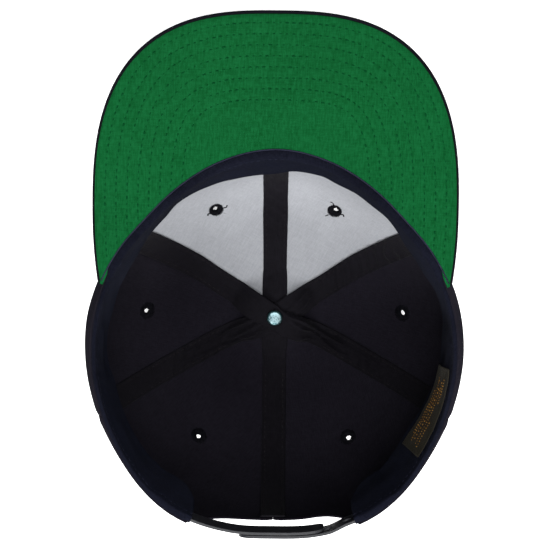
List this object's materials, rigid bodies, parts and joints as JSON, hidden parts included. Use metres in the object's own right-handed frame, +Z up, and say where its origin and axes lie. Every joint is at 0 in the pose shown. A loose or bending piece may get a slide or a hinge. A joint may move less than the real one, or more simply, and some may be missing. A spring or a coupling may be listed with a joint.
{
  "type": "snapback cap",
  "caption": "Structured cloth cap with a flat visor, green underneath, and a plastic snap strap, lying upside down on its crown.",
  "frame": {"origin": "on the floor under the middle of the cap as it lies upside down on its crown", "axes": "+Z up, out of the opening; +Y towards the visor's front edge; +X to the right of the picture"},
  "size_m": [0.1964, 0.2692, 0.1292],
  "materials": {
    "crown_cloth": "navy twill",
    "buckram": "light grey stiff weave",
    "seam_tape": "black satin tape",
    "sweatband_cloth": "navy brushed cloth",
    "label_weave": "woven satin label",
    "visor_cover": "navy twill",
    "under_visor_cloth": "green twill",
    "rivet_steel": "tumbled, bluish",
    "eyelet_thread": "black thread",
    "strap_plastic": "semi-matt dark plastic"
  },
  "bodies": {
    "root": {"panel_front_right": "crown_cloth", "panel_front_left": "crown_cloth", "panel_side_right": "crown_cloth", "panel_side_left": "crown_cloth", "panel_back_right": "crown_cloth", "panel_back_left": "crown_cloth", "buckram_right": "buckram", "buckram_left": "buckram", "seam_tape_centre": "seam_tape", "seam_tape_right": "seam_tape", "seam_tape_left": "seam_tape", "sweatband": "sweatband_cloth", "label": "label_weave", "visor_top": "visor_cover", "visor_under": "under_visor_cloth", "button": "visor_cover", "rivet": "rivet_steel", "eyelet_front_right": "eyelet_thread", "eyelet_front_left": "eyelet_thread", "eyelet_side_right": "eyelet_thread", "eyelet_side_left": "eyelet_thread", "eyelet_back_right": "eyelet_thread", "eyelet_back_left": "eyelet_thread", "strap_pegs": "strap_plastic", "strap_holes": "strap_plastic"}
  },
  "joints": []
}
